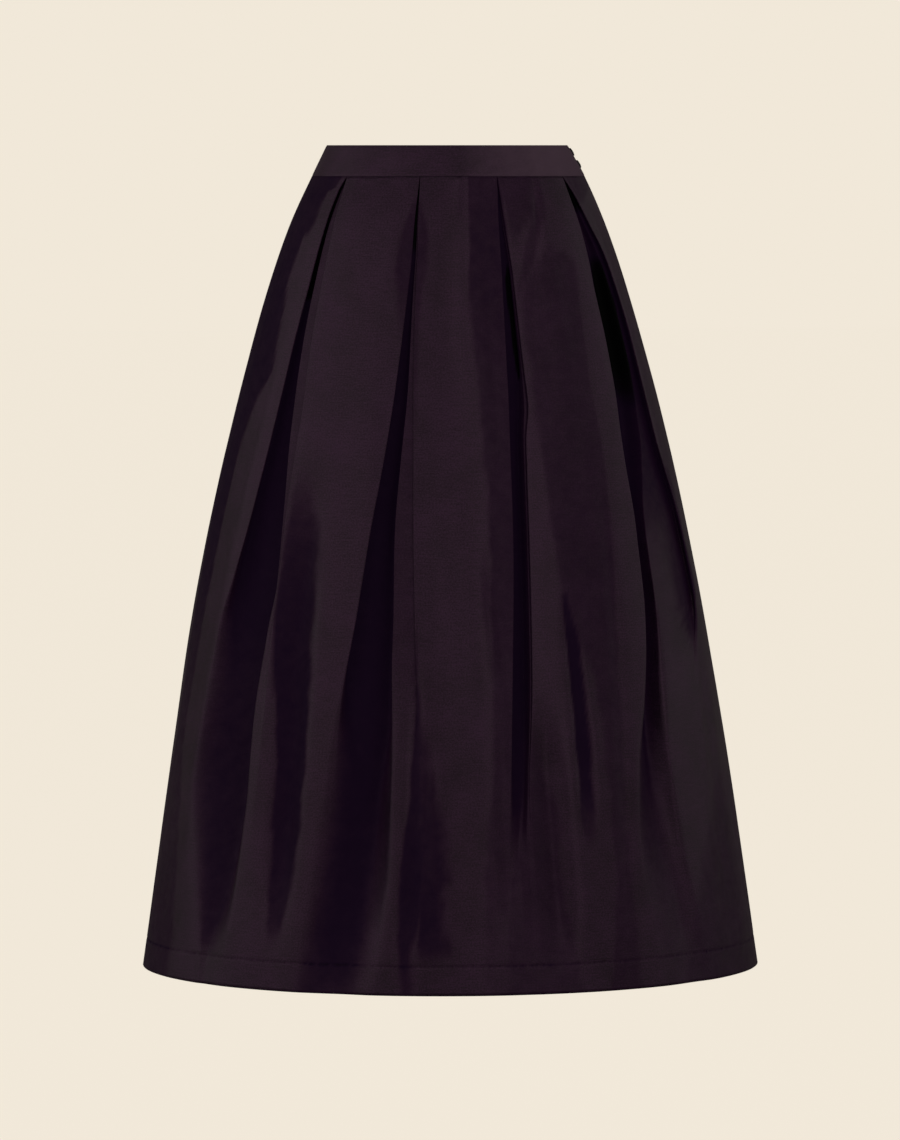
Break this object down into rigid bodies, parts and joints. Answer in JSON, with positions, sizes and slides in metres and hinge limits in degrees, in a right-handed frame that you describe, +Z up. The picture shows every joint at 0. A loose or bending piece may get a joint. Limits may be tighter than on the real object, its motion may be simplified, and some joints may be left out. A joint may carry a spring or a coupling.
{
  "type": "pleated midi skirt",
  "caption": "Hollow, filled-out midi skirt with a plain contoured waistband, inverted box pleats that open into waves towards a turned-up hem, and a buttoned side lap.",
  "frame": {"origin": "middle of the waist opening, level with the waistband's top edge", "axes": "+Z up, -Y the way the front faces, +X towards the wearer's left, where the skirt buttons"},
  "size_m": [0.604, 0.5098, 0.8],
  "materials": {
    "taffeta": "crisp dark aubergine taffeta with a fine grain and a soft sheen",
    "button": "polished near-black plastic"
  },
  "bodies": {
    "root": {"waistband_front": "taffeta", "waistband_back": "taffeta", "skirt_front": "taffeta", "skirt_back": "taffeta", "hem_front": "taffeta", "hem_back": "taffeta", "placket_underlap": "taffeta", "button_upper": "button", "button_lower": "button"}
  },
  "joints": []
}
